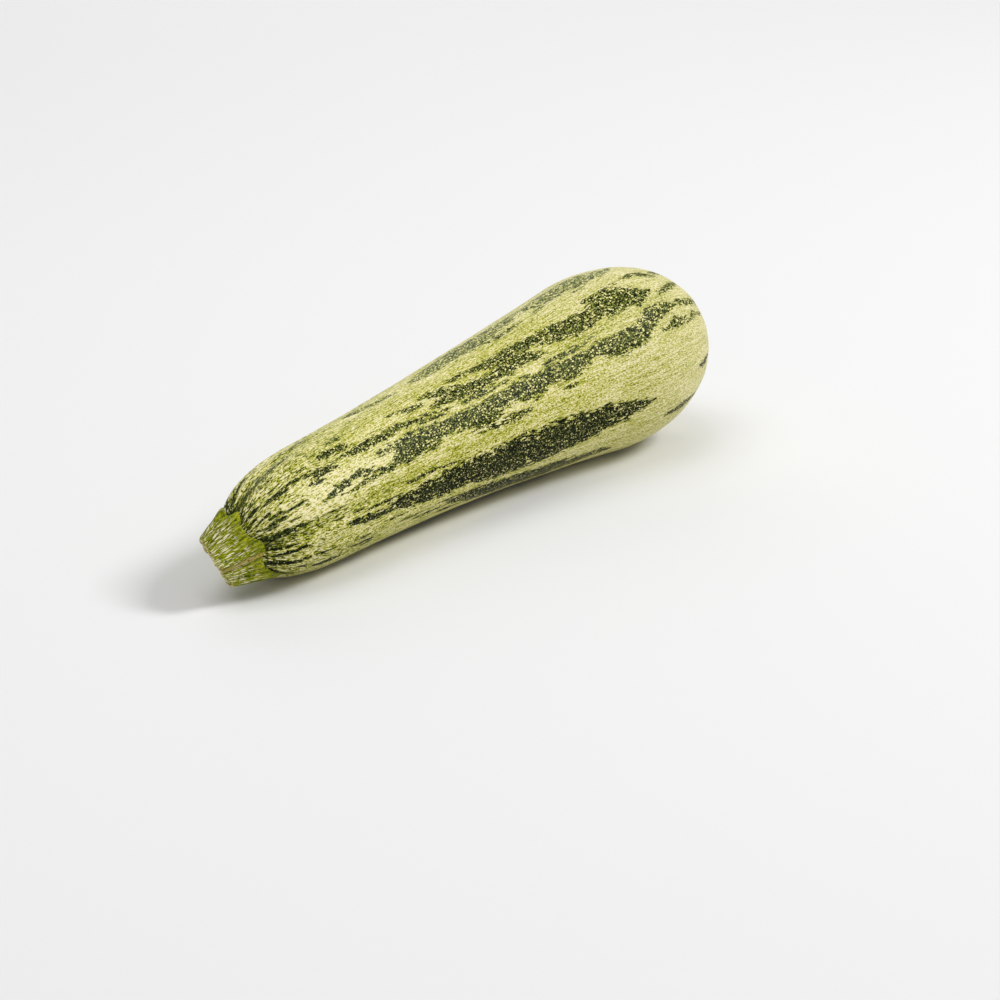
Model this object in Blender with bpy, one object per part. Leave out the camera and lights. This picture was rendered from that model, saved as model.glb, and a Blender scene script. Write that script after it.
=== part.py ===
"""A whole pale green zucchini lying on its side, with the cut stub of its stalk.

Blender 4.5 script, metres, +Z up. The fruit lies along +X with the stalk at low X.
The numbers below are millimetres, in the fruit's own layout: the spine starts at
x = 0, y = 0 at the stalk end and the surface it lies on is near z = 0. At the end the
model is moved so that the middle of its footprint is at the origin and it rests on z = 0.
"""
import math

import bmesh
import bpy
import numpy as np

MM = 0.001

# The fruit's spine: control heights and sideways offsets of one smooth curve
FRUIT_LENGTH = 231.8
SPINE_HEIGHTS = (18.4, 19.9, 29.3, 34.3)
SPINE_OFFSETS = (0.0, 9.2, 7.0, 0.0)

# The fruit's girth: a slim neck that widens to a bulb, closed round at both ends
NECK_RADIUS = 19.5
NECK_WIDENING = 0.8
BULB_WIDENING = 18.7
SHOULDER_LENGTH = 46.6
SHOULDER_FULLNESS = 2.8
BULB_CLOSES_FROM = 0.77
BULB_FULLNESS = 1.8

# The underside is pressed flat where it lies
REST_LEVEL = 0.0

# Five ridges of the stalk run on over the shoulder as the main grooves of the fruit
RIDGE_ANGLES = tuple(math.radians(a) for a in (42, 82, 170, 234, 305))
LOBE_REACH = (13.4, 11.8, 11.2, 15.0, 12.5)
RIDGE_RADIUS_AT_CUT = (10.0, 9.0, 9.0, 9.1, 9.0)
RIBS_PER_RIDGE = 3
MAIN_GROOVE = 1.9
BULGE_SHARE = 0.6
MAIN_GROOVE_FADE = 16.0
RIB_GROOVE = 0.45
RIB_GROOVE_FADE = 42.0
SLIGHT_GROOVE = 0.10
RIBS_END_AT_RADIUS = 6.0

# The dry scar that the flower left at the far end
SCAR_DIMPLE = 1.3
SCAR_DIMPLE_RADIUS = 7.0
SCAR_BUTTON = 1.0
SCAR_BUTTON_RADIUS = 3.2

# The stalk: a short five-sided stub, cut aslant, with a lobed foot on the shoulder
CUT_CENTRE = np.array((-4.5, 4.0, 12.65))
CUT_FACES = np.array((-0.75, 0.455, -0.48))
FOOT_CENTRE = (1.5, 16.6)
FOOT_WAIST = (10.8, 8.4, 8.4, 8.4, 8.4)
FOOT_THICKNESS = 0.55
LOBE_POINTEDNESS = 1.6
FLARE_START = 0.9
FLARE_LIFT = 1.6
WALL_SHARE = 0.4
SIDE_FLATNESS = 0.75
FACET_HOLLOW = 0.05

# Past this distance from the stalk end the sections are plain ones across the spine
SHOULDER_ENDS = 34.0

# How finely the solid is divided
AROUND = 84
STALK_RINGS = 8
SHOULDER_RINGS = 8
BODY_RINGS = 28


def bezier(share, controls):
    """Point of a cubic curve and its slope at each share of the way."""
    a, b, c, d = controls
    t, u = share, 1.0 - share
    point = a * u**3 + 3.0 * b * u * u * t + 3.0 * c * u * t * t + d * t**3
    slope = 3.0 * ((b - a) * u * u + 2.0 * (c - b) * u * t + (d - c) * t * t)
    return point, slope


def spine(share):
    """Centres of the fruit's sections, with the directions along, sideways and up."""
    y, dy = bezier(share, SPINE_OFFSETS)
    z, dz = bezier(share, SPINE_HEIGHTS)
    centre = np.stack([FRUIT_LENGTH * share, y, z], axis=-1)
    along = np.stack([np.full_like(share, FRUIT_LENGTH), dy, dz], axis=-1)
    along /= np.linalg.norm(along, axis=-1, keepdims=True)
    side = np.cross((0.0, 0.0, 1.0), along)
    side /= np.linalg.norm(side, axis=-1, keepdims=True)
    return centre, along, side, np.cross(along, side)


def girth(share):
    """Radius of the fruit at each share of its length, without the ribs."""
    radius = NECK_RADIUS + NECK_WIDENING * share + BULB_WIDENING * share**2
    to_pole = np.clip(1.0 - share * FRUIT_LENGTH / SHOULDER_LENGTH, 0.0, 1.0)
    to_tip = np.clip((share - BULB_CLOSES_FROM) / (1.0 - BULB_CLOSES_FROM), 0.0, 1.0)
    shoulder = np.sqrt(1.0 - to_pole**SHOULDER_FULLNESS)
    tip = np.sqrt(1.0 - to_tip**BULB_FULLNESS)
    return radius * shoulder * tip


def ridge_phase(angle):
    """Whole number at each ridge of the stalk, running on evenly between them."""
    turn = 2.0 * math.pi
    angles = np.array(RIDGE_ANGLES + (RIDGE_ANGLES[0] + turn,))
    return np.interp((angle - angles[0]) % turn + angles[0], angles, np.arange(len(angles)))


def wave(phase, sharpness):
    """One at whole numbers of the phase, nought half way between them."""
    return (0.5 + 0.5 * np.cos(2.0 * math.pi * phase)) ** sharpness


def relief(share, phase):
    """How far the skin stands out of the plain round shape, grooves being negative."""
    distance = share * FRUIT_LENGTH
    main_depth = MAIN_GROOVE * np.exp(-distance / MAIN_GROOVE_FADE)
    fine_depth = RIB_GROOVE * np.exp(-distance / RIB_GROOVE_FADE) + SLIGHT_GROOVE
    main = main_depth * (wave(phase, 1.5) - BULGE_SHARE)
    fine = fine_depth * wave(RIBS_PER_RIDGE * phase, 1.2)
    radius = girth(share)
    at_tip = share > BULB_CLOSES_FROM
    dimple = SCAR_DIMPLE * np.exp(-((radius / SCAR_DIMPLE_RADIUS) ** 2)) * at_tip
    button = SCAR_BUTTON * np.exp(-((radius / SCAR_BUTTON_RADIUS) ** 4)) * at_tip
    return button - dimple - (main + fine) * np.clip(radius / RIBS_END_AT_RADIUS, 0.0, 1.0)


def fruit_point(share, angle, phase, lift=0.0):
    """Points of the skin; lift moves them out along the surface's own direction."""
    share, angle, phase = np.broadcast_arrays(share, angle, phase)
    centre, along, side, up = spine(share)
    step = 1e-4
    rise = girth(np.clip(share + step, 0.0, 1.0)) - girth(np.clip(share - step, 0.0, 1.0))
    slope = rise / (2.0 * step * FRUIT_LENGTH)
    out = np.cos(angle)[..., None] * side + np.sin(angle)[..., None] * up
    normal = out - slope[..., None] * along
    normal /= np.linalg.norm(normal, axis=-1, keepdims=True)
    height = (relief(share, phase) + lift)[..., None]
    return centre + girth(share)[..., None] * out + height * normal


def closed_mesh(name, rings, first, last):
    """Closed mesh through a stack of rings, with a point at each end."""
    mesh = bmesh.new()
    start = mesh.verts.new(first * MM)
    layers = [[mesh.verts.new(point * MM) for point in ring] for ring in rings]
    end = mesh.verts.new(last * MM)
    around = len(layers[0])
    pairs = [(i, (i + 1) % around) for i in range(around)]
    for i, j in pairs:
        mesh.faces.new((start, layers[0][j], layers[0][i]))
    for lower, upper in zip(layers, layers[1:]):
        for i, j in pairs:
            mesh.faces.new((lower[i], lower[j], upper[j], upper[i]))
    for i, j in pairs:
        mesh.faces.new((end, layers[-1][i], layers[-1][j]))
    bmesh.ops.recalc_face_normals(mesh, faces=mesh.faces)
    data = bpy.data.meshes.new(name)
    mesh.to_mesh(data)
    mesh.free()
    return data


def between_ridges(phase, values):
    """Value that each ridge has, running evenly from one ridge to the next."""
    around = tuple(values) + (values[0],)
    return np.interp(phase, np.arange(len(around)), around)


def lobe_reach(phase):
    """Radius of the stalk's foot: pointed lobes at the ridges, drawn in between them."""
    tip = between_ridges(phase, LOBE_REACH)
    waist = np.take(FOOT_WAIST, phase.astype(int), mode="wrap")
    from_ridge = np.abs(phase - np.round(phase)) * 2.0
    return waist + (tip - waist) * (1.0 - from_ridge) ** LOBE_POINTEDNESS


def stalk_section(phase):
    """Radius of the stalk's five-sided section, with its sides a little hollow."""
    half = math.pi / len(RIDGE_ANGLES)
    from_ridge = (phase % 1.0) * 2.0 * half
    flat_side = math.cos(half) / np.cos(from_ridge - half)
    rounded = SIDE_FLATNESS * flat_side + (1.0 - SIDE_FLATNESS) * math.cos(half / 2.0)
    hollow = FACET_HOLLOW * wave(phase + 0.5, 1.0)
    return between_ridges(phase, RIDGE_RADIUS_AT_CUT) * (rounded - hollow)


def on_shoulder(angle, reach):
    """Share and angle of the skin at a distance from the foot's own centre."""
    y = FOOT_CENTRE[0] + reach * np.cos(angle)
    z = FOOT_CENTRE[1] + reach * np.sin(angle) - SPINE_HEIGHTS[0]
    shares = np.linspace(0.0, SHOULDER_LENGTH / FRUIT_LENGTH, 1000)
    share = np.interp(np.hypot(y, z), girth(shares), shares)
    turned = np.arctan2(z, y)
    return share, angle + (turned - angle + math.pi) % (2.0 * math.pi) - math.pi


def stalk_rings(angles, phase):
    """Rings of the stalk from its cut to the edge of its foot on the shoulder."""
    inward = -CUT_FACES / np.linalg.norm(CUT_FACES)
    up = np.array((0.0, 0.0, 1.0)) - inward[2] * inward
    up /= np.linalg.norm(up)
    side = np.cross(up, inward)
    out = np.cos(angles)[:, None] * side + np.sin(angles)[:, None] * up
    rim = CUT_CENTRE + stalk_section(phase)[:, None] * out
    reach = lobe_reach(phase)
    edge = fruit_point(*on_shoulder(angles, reach), phase, FOOT_THICKNESS)
    flare = fruit_point(*on_shoulder(angles, FLARE_START * reach), phase, FLARE_LIFT)
    wall = (1.0 - WALL_SHARE) * rim + WALL_SHARE * flare
    rings = [0.5 * (CUT_CENTRE + rim)]
    for share in np.linspace(0.0, 1.0, STALK_RINGS):
        rest = 1.0 - share
        first, last = rest**3 * rim, share**3 * edge
        rings.append(first + 3.0 * rest * share * (rest * wall + share * flare) + last)
    return rings


def skin_rings(angles, phase):
    """Rings of the fruit's skin from the edge of the stalk's foot to the far tip."""
    begin, turned = on_shoulder(angles, lobe_reach(phase) + 0.5 * FOOT_THICKNESS)
    even = SHOULDER_ENDS / FRUIT_LENGTH
    rings = []
    for step in np.linspace(0.0, 1.0, SHOULDER_RINGS, endpoint=False):
        share = begin + (even - begin) * step**1.5
        rings.append(fruit_point(share, turned + (angles - turned) * step, phase))
    for step in np.linspace(0.0, 1.0, BODY_RINGS, endpoint=False):
        share = even + (1.0 - even) * math.sin(0.5 * math.pi * step)
        rings.append(fruit_point(share, angles, phase))
    for ring in rings:
        ring[:, 2] = np.maximum(ring[:, 2], REST_LEVEL)
    return rings


def material(name, colour, roughness):
    """Plain finish of one colour."""
    made = bpy.data.materials.new(name)
    made.use_nodes = True
    shader = made.node_tree.nodes["Principled BSDF"]
    shader.inputs["Base Color"].default_value = (*colour, 1.0)
    shader.inputs["Roughness"].default_value = roughness
    made.diffuse_color = (*colour, 1.0)
    return made


def centred_on_floor(points):
    """Move that brings the middle of the footprint to the origin and the rest to z = 0."""
    middle = 0.5 * (points.min(axis=0) + points.max(axis=0))
    return np.array((-middle[0], -middle[1], -REST_LEVEL))


def main():
    for old in list(bpy.data.objects):
        bpy.data.objects.remove(old, do_unlink=True)

    angles = np.arange(AROUND) / AROUND * 2.0 * math.pi
    phase = ridge_phase(angles)
    stalk = stalk_rings(angles, phase)
    rings = np.array(stalk + skin_rings(angles, phase))
    tip = fruit_point(1.0, 0.0, 0.0)
    move = centred_on_floor(np.concatenate([rings.reshape(-1, 3), [tip]]))

    # the stalk grew out of the fruit, so the two are one solid with two colours
    data = closed_mesh("zucchini", rings + move, CUT_CENTRE + move, tip + move)
    data.materials.append(material("pale_green_skin", (0.45, 0.52, 0.20), 0.38))
    data.materials.append(material("olive_stalk", (0.20, 0.26, 0.03), 0.60))
    faces_of_stalk = AROUND * len(stalk)
    for face in data.polygons[:faces_of_stalk]:
        face.material_index = 1
    data.shade_smooth()
    data.set_sharp_from_angle(angle=math.radians(40.0))
    zucchini = bpy.data.objects.new("zucchini", data)
    bpy.context.scene.collection.objects.link(zucchini)


main()
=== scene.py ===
"""Looks of a whole pale green zucchini: striped skin, ridged stalk, dry cut and flower scar.

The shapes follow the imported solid's formulas with many more points; only the stalk's foot has
a finer outline of its own. They are worked out in millimetres in the fruit's own layout, where
the spine starts at x = 0, y = 0 at the stalk end, and are then moved to where the solid is.
An angle goes round the fruit in degrees: 0 is the far side (+Y), 90 the top, 180 the near
side and 270 the underside.
"""
import math

import bpy
import numpy as np
from mathutils import Matrix, Vector, noise


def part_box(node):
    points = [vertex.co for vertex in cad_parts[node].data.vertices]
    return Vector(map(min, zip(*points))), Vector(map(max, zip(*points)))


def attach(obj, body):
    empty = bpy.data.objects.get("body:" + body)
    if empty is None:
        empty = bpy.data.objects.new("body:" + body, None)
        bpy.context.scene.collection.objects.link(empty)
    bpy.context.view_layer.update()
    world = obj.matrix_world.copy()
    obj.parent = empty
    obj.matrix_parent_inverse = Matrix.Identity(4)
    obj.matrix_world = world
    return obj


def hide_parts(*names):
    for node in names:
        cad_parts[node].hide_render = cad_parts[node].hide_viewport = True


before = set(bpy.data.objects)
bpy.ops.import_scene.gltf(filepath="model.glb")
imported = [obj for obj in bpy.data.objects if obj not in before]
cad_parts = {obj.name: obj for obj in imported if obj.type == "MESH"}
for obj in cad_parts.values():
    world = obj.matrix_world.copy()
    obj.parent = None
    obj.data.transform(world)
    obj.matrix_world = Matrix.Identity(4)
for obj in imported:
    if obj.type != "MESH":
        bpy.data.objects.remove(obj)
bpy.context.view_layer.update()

MM = 0.001
TURN = 2.0 * math.pi

# The fruit's spine and girth
FRUIT_LENGTH = 231.8
SPINE_HEIGHTS = (18.4, 19.9, 29.3, 34.3)
SPINE_OFFSETS = (0.0, 9.2, 7.0, 0.0)
NECK_RADIUS = 19.5
NECK_WIDENING = 0.8
BULB_WIDENING = 18.7
SHOULDER_LENGTH = 46.6
SHOULDER_FULLNESS = 2.8
SHOULDER_ENDS = 34.0
BULB_CLOSES_FROM = 0.77
BULB_FULLNESS = 1.8
REST_LEVEL = 0.0

# Five ridges of the stalk run on as the main grooves of the fruit
RIDGE_ANGLES = tuple(math.radians(a) for a in (42, 82, 170, 234, 305))
RIDGE_RADIUS_AT_CUT = (10.0, 9.0, 9.0, 9.1, 9.0)
RIBS_PER_RIDGE = 3
MAIN_GROOVE = 2.3
BULGE_SHARE = 0.6
MAIN_GROOVE_FADE = 16.0
RIB_GROOVE = 0.45
RIB_GROOVE_FADE = 42.0
SLIGHT_GROOVE = 0.10
RIBS_END_AT_RADIUS = 6.0
SCAR_DIMPLE = 1.3
SCAR_DIMPLE_RADIUS = 7.0
SCAR_BUTTON = 1.0
SCAR_BUTTON_RADIUS = 3.2

# The stalk: a short five-sided stub, cut aslant, with a lobed foot on the shoulder
CUT_CENTRE = np.array((-4.5, 4.0, 12.65))
CUT_FACES = np.array((-0.75, 0.455, -0.48))
INWARD = -CUT_FACES / np.linalg.norm(CUT_FACES)
FOOT_CENTRE = (1.5, 16.6)
FOOT_THICKNESS = 0.55
FLARE_START = 0.9
FLARE_LIFT = 1.6
WALL_SHARE = 0.4
SIDE_FLATNESS = 0.75
FACET_HOLLOW = 0.05

# Outline of the stalk's foot: (degrees round its centre, reach); the lobes follow the ridges
FOOT_OUTLINE = (
    (42, 13.2), (50, 12.6), (64, 11.3), (73, 9.5), (83, 11.3), (91, 11.6), (99, 10.7), (118, 8.6),
    (140, 8.3), (150, 9.2), (158, 10.5), (170, 10.9), (179, 10.7), (189, 9.7), (202, 10.2),
    (213, 11.2), (234, 15.0), (252, 10.6), (270, 8.4), (290, 10.3), (305, 12.5), (320, 10.2),
    (345, 8.4), (370, 8.8), (388, 10.6), (402, 13.2),
)
FOOT_ROUNDING = 2.5

# Rings that close the stalk inside its cut: (share of the rim's radius, depth behind the cut,
# share of the rim's waves), and under its foot: (share of the reach, more reach, height)
STALK_END = ((0.5, 1.2, 0.0), (0.9, 1.2, 0.3), (0.95, 0.3, 0.7))
FOOT_UNDERSIDE = ((1.0, 0.2, -0.15), (0.8, 0.0, -1.0))
FOOT_BOTTOM = -2.0

# The dry pith in the cut: a shallow dish with a slight star, and two rings behind it
CUT_START = 0.04
CUT_END = 0.955
CUT_DISH = 0.55
CUT_DISH_REACH = 0.55
CUT_RECESS = 0.15
CUT_STAR = 0.35
CUT_STAR_REACH = 0.45
CUT_STAR_WIDTH = 0.22
CUT_BACK = ((0.94, 0.9, CUT_END), (0.5, 1.5, 0.5))

# The flower's scar: a thin corky disc with an uneven edge and a hollow heart
SCAR_START = 0.1
SCAR_RADIUS = 3.6
SCAR_UNEVENNESS = 0.22
SCAR_HEIGHT = 0.30
SCAR_EDGE_DROP = 0.36
SCAR_HEART_DEPTH = 0.25
SCAR_HEART_RADIUS = 0.9
SCAR_ROUGHNESS = 0.22
SCAR_BACK_RADIUS = 3.4
SCAR_BACK_DEPTH = -0.7
SCAR_BOTTOM = -1.0

# How finely the pieces are divided
AROUND = 420
HIDDEN_RINGS = 4
SHOULDER_RINGS = 40
SHOULDER_CROWDING = 1.5
BODY_RINGS = 190
STALK_RINGS = 64
CUT_RINGS = 40
SCAR_RINGS = 36

# Angle of each point of a ring, and its phase: a whole number at each ridge, running on evenly
ANGLES = np.arange(AROUND) / AROUND * TURN
RIDGES_ON = RIDGE_ANGLES + (RIDGE_ANGLES[0] + TURN,)
PHASE = np.interp((ANGLES - RIDGES_ON[0]) % TURN + RIDGES_ON[0], RIDGES_ON, range(len(RIDGES_ON)))

# The skin goes on under the stalk's foot: from and to these shares of its reach, this deep
HIDDEN_SHARES = (0.25, 0.9)
HIDDEN_DEPTH = -0.6

# Fine relief of the skin: how far it wanders in and out, and how often to a millimetre
SKIN_SWELL = 0.22
SKIN_WRINKLE = 0.10
SWELLS_PER_MM = (0.03, 0.08, 0.08)
WRINKLES_PER_MM = (0.10, 0.5, 0.5)
WRINKLED_NECK = 40.0
WRINKLES_ELSEWHERE = 0.3
SMOOTH_TIP_RADIUS = 12.0

# Fine relief of the stalk, and the uneven edge of its cut
FIBRE_HEIGHT = 0.40
FIBRES_PER_MM = (0.16, 1.3, 1.3)
LUMP_HEIGHT = 0.16
LUMPS_PER_MM = (0.45, 0.6, 0.6)
RIDGE_HEIGHT = 0.30
RIDGE_SHARPNESS = 8.0
CUT_EDGE_WAVES = 0.8
CUT_EDGE_REACH = 1.6
WAVES_PER_MM = 0.24
RIPPLES_PER_MM = 0.6
RIPPLE_SHARE = 0.30

# Radius of the drum that the patterns are laid on: the stalk's, and the skin's by distance
STALK_DRUM = 10.0
DRUM_DISTANCES = (0.0, 18.0, 60.0, 150.0, 250.0)
DRUM_RADII = (10.0, 13.5, 20.0, 26.0, 28.0)

# How far, in mm, the neck's colours, the tip's pale bloom and the foot's painted shade reach
NECK_FADE = 42.0
TIP_BLOOM = 0.38
TIP_BLOOM_REACH = 50.0
FOOT_SHADE_REACH = 3.8

# Dark green lines in the main grooves, the skin's own colour, and softer painted shade in these and
# in the ribs' grooves
LINE_SHARPNESS = 14.0
LINE_REACH = 24.0
GROOVE_SHADE = 0.4
SHADE_SHARPNESS = 3.0
MAIN_SHADE_FADE = 17.0
RIB_SHADE_FADE = 9.0

# The stalk's darker ridges, and the ridge with the tan line: its angle and width in degrees
RIDGE_TINT_SHARPNESS = 6.0
TAN_RIDGE = 181.0
TAN_RIDGE_WIDTH = 4.5

# Dark stripes: (distance from the stalk end, lower angle, upper angle) along each of them
STRIPES = (
    ((94, 81, 83), (98, 77, 87), (105, 73, 88), (113, 69, 88), (123, 68, 89), (133, 69, 89),
     (141, 70, 85), (148, 74, 84), (153, 76, 78)),
    ((129, 88, 90), (134, 89, 95), (141, 89, 94), (149, 90, 92)),
    ((149, 72, 79), (156, 73, 82), (160, 72, 88), (167, 70, 88), (173, 71, 87), (178, 70, 91),
     (185, 73, 91), (191, 79, 91), (197, 80, 86), (202, 76, 78)),
    ((75, 106, 108), (78, 108, 113), (82, 110, 117), (87, 112, 115)),
    ((86, 106, 107), (90, 105, 111), (94, 107, 118), (98, 108, 120), (102, 112, 114)),
    ((88, 120, 122), (92, 118, 126), (97, 114, 127), (103, 113, 129), (110, 117, 129),
     (117, 119, 128), (124, 117, 129), (132, 113, 128), (138, 120, 129), (144, 128, 129)),
    ((102, 105, 107), (106, 105, 110), (113, 107, 111), (120, 107, 116), (127, 107, 119),
     (134, 106, 118), (141, 107, 118), (146, 108, 118), (151, 108, 123), (157, 110, 126),
     (163, 112, 127), (169, 111, 125), (175, 108, 127), (181, 107, 126), (187, 109, 128),
     (191, 113, 127), (195, 117, 125), (199, 119, 120)),
    ((169, 105, 106), (174, 105, 109), (182, 104, 109), (188, 104, 105)),
    ((39, 121, 122), (45, 120, 124), (50, 118, 127), (57, 118, 126), (64, 119, 128),
     (71, 118, 125), (78, 122, 127), (86, 126, 129), (95, 129, 131)),
    ((26, 150, 151), (30, 146, 152), (33, 142, 150), (37, 141, 149), (41, 141, 146),
     (46, 139, 145), (50, 143, 149), (56, 148, 152)),
    ((34, 152, 154), (41, 152, 154), (46, 149, 154), (58, 150, 154)),
    ((55, 134, 137), (58, 132, 138), (63, 132, 138), (67, 133, 139)),
    ((56, 149, 153), (61, 145, 154), (66, 134, 154), (71, 131, 155), (76, 131, 154),
     (82, 134, 154), (84, 135, 149), (91, 136, 150), (95, 136, 152), (98, 137, 152),
     (102, 137, 157), (110, 137, 156), (115, 137, 151), (120, 138, 150), (124, 135, 154),
     (131, 136, 154), (136, 138, 151), (143, 137, 152), (149, 138, 153), (154, 139, 150),
     (161, 138, 145), (164, 137, 150), (169, 138, 154), (176, 137, 153), (182, 138, 152),
     (187, 133, 146), (193, 131, 142), (200, 131, 139), (205, 135, 136)),
    ((191, 148, 150), (196, 146, 151), (200, 142, 151), (204, 145, 150), (210, 147, 150),
     (213, 143, 149), (216, 145, 146)),
    ((206, 132, 137), (211, 133, 138), (217, 132, 138), (222, 131, 136), (226, 133, 134)),
    ((190, 102, 103), (195, 100, 104), (200, 98, 103), (204, 99, 107), (209, 105, 108)),
    ((200, 123, 125), (205, 119, 124), (210, 116, 122), (214, 112, 119), (218, 112, 115)),
    ((33, 180, 181), (37, 179, 186), (43, 180, 188), (50, 183, 191), (57, 189, 190)),
    ((53, 180, 184), (58, 178, 191), (63, 179, 194), (70, 179, 197), (78, 177, 199),
     (86, 176, 200), (93, 176, 199), (100, 176, 203), (108, 176, 206), (116, 175, 207),
     (125, 176, 208), (135, 176, 207), (145, 178, 205), (153, 181, 203), (160, 180, 199),
     (168, 184, 198), (176, 187, 194), (181, 189, 190)),
    ((82, 212, 214), (88, 210, 218), (94, 208, 222), (100, 209, 227), (108, 211, 230),
     (120, 214, 234), (132, 217, 236), (143, 218, 235), (152, 221, 233), (160, 220, 230),
     (168, 225, 228)),
    ((62, 252, 254), (70, 248, 262), (84, 247, 265), (96, 251, 264), (108, 250, 270),
     (122, 253, 271), (137, 252, 268), (150, 256, 270), (166, 254, 265), (176, 258, 262)),
    ((38, 281, 283), (47, 279, 289), (55, 283, 288), (64, 284, 286)),
    ((74, 283, 287), (82, 281, 293), (95, 283, 297), (109, 280, 295), (121, 286, 299),
     (136, 284, 297), (147, 287, 294), (158, 283, 296), (171, 281, 294), (184, 284, 291)),
    ((90, 311, 313), (97, 309, 319), (106, 312, 323), (119, 310, 326), (130, 315, 325),
     (143, 312, 328), (157, 311, 326), (169, 316, 327), (183, 314, 322), (192, 316, 318)),
    ((33, 318, 320), (40, 316, 323), (50, 319, 326), (61, 318, 324), (75, 320, 322)),
    ((51, 346, 348), (58, 342, 355), (70, 341, 356), (81, 345, 353), (88, 344, 358),
     (101, 341, 360), (115, 345, 361), (128, 344, 357), (141, 348, 359), (152, 345, 361),
     (163, 344, 357), (176, 348, 354), (184, 350, 351)),
    ((68, 372, 373), (76, 369, 379), (88, 371, 383), (97, 375, 382), (110, 372, 388),
     (124, 370, 386), (139, 374, 389), (150, 377, 386), (163, 373, 388), (178, 371, 384),
     (189, 375, 380), (196, 376, 377)),
    ((84, 400, 402), (93, 398, 409), (104, 401, 413), (118, 397, 411), (127, 402, 412),
     (142, 399, 415), (156, 398, 412), (170, 403, 413), (181, 401, 408), (190, 403, 404)),
    # short ones near the tip, on the hidden sides
    ((197, 16, 18), (202, 14, 20), (208, 15, 21), (215, 17, 19)),
    ((205, 48, 50), (210, 46, 53), (216, 48, 52), (221, 50, 51)),
    ((193, 332, 334), (199, 330, 337), (206, 331, 335), (212, 333, 334)),
    ((203, 306, 308), (209, 304, 311), (217, 306, 310)),
    ((192, 268, 271), (199, 267, 274), (205, 270, 274), (211, 272, 273)),
    ((198, 240, 242), (204, 238, 245), (213, 240, 244)),
    ((189, 206, 208), (195, 204, 210), (203, 205, 211), (210, 208, 210)),
    ((207, 184, 186), (212, 182, 188), (219, 184, 187)),
    # dark bands in the five main grooves, next to the stalk
    ((2, 68, 82), (5, 72, 86), (8, 78, 89), (13, 80, 89), (20, 82, 90), (27, 84, 89),
     (35, 87, 88)),
    ((2, 160, 173), (5, 160, 173), (8, 161, 171), (12, 161, 168), (17, 162, 166), (19, 163, 164)),
    ((2, 225, 241), (6, 227, 240), (13, 230, 237), (21, 232, 235)),
    ((2, 299, 311), (7, 300, 310), (14, 302, 308), (25, 304, 306)),
    ((2, 396, 408), (7, 397, 407), (14, 399, 405), (24, 401, 403)),
)

# Small dark marks: (from, to, angle there, angle here, thickness in mm)
MARKS = (
    (63, 76, 75, 79, 1.6), (72, 88, 81, 84, 0.9), (154, 162, 90, 88, 0.8),
    (173, 179, 93, 93, 1.0), (71, 75, 107, 108, 0.7), (44, 51, 100, 101, 0.8),
    (35, 50, 110, 112, 1.7), (24, 30, 111, 111, 0.5), (12, 16, 110, 110, 0.45),
    (7, 15, 118, 118, 0.5), (13, 27, 117, 118, 0.65), (25, 38, 122, 126, 1.6),
    (24, 31, 130, 132, 0.8), (34, 40, 127, 127, 0.4),
    (78, 94, 129, 132, 0.6), (99, 123, 131, 132, 0.9), (143, 158, 119, 124, 1.5),
    (7, 12, 139, 139, 0.6), (11, 22, 142, 141, 0.5), (4, 14, 147, 147, 0.7),
    (138, 159, 134, 135, 1.2),
    (158, 164, 133, 133, 0.4), (97, 107, 155, 157, 0.7), (99, 104, 159, 160, 0.5),
    (104, 126, 160, 160, 1.3), (141, 148, 157, 157, 0.7), (215, 222, 147, 147, 0.8),
    (41, 61, 177, 177, 0.5), (63, 79, 171, 171, 0.7), (80, 89, 172, 173, 0.5),
    (28, 34, 173, 173, 0.3), (35, 42, 173, 174, 0.3), (68, 75, 178, 178, 0.5),
    (53, 64, 198, 199, 0.5), (37, 47, 203, 204, 0.5), (17, 36, 163, 163, 0.3),
    (4, 15, 187, 183, 0.45), (7, 18, 195, 188, 0.7), (5, 16, 209, 207, 0.9),
    (14, 25, 205, 201, 0.6), (19, 30, 203, 201, 0.35), (14, 20, 220, 217, 0.6),
    (21, 34, 222, 217, 0.9), (36, 49, 211, 212, 0.7), (42, 49, 216, 216, 0.5),
    (5, 12, 223, 232, 0.7), (5, 9, 199, 198, 0.3), (208, 217, 102, 95, 1.5),
    (3, 8, 114, 114, 0.7), (9, 22, 121, 121, 0.45), (2, 6, 129, 124, 0.45),
    (4, 9, 135, 131, 0.4), (12, 19, 97, 97, 0.4), (4, 7, 92, 92, 0.4),
    (4, 18, 65, 61, 0.9), (14, 19, 77, 78, 0.4), (19, 22, 111, 111, 0.3),
    (5, 9, 153, 152, 0.4), (10, 17, 153, 154, 0.3), (5, 8, 104, 103, 0.3),
    (59, 74, 207, 209, 0.5), (68, 86, 214, 215, 0.7), (74, 91, 207, 208, 0.5),
    (79, 97, 221, 223, 0.8),
)

# Marks thinner than this, in mm, keep cleaner edges
TORN_FROM = 1.5

# Depth, in mm, of places far outside all stripes
FAR_OUTSIDE = -9.0

# Small marks scattered on the hidden sides: how many, and between which angles
HIDDEN_MARKS = 60
HIDDEN_BETWEEN = (240, 420)

# Edges of the stalk that are sharper than this stay sharp
SHARP_FROM = math.radians(50.0)

# How large the pale specks are round the fruit: (angle, share of their usual size); larger at the
# top as painted sheen, smaller low on the near side as painted shade
SPECK_SIZES_SHEEN_SHADE = (
    (0, 0.95), (50, 1.1), (80, 1.35), (100, 1.1), (155, 1.1), (180, 0.82), (360, 0.95),
)
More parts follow.
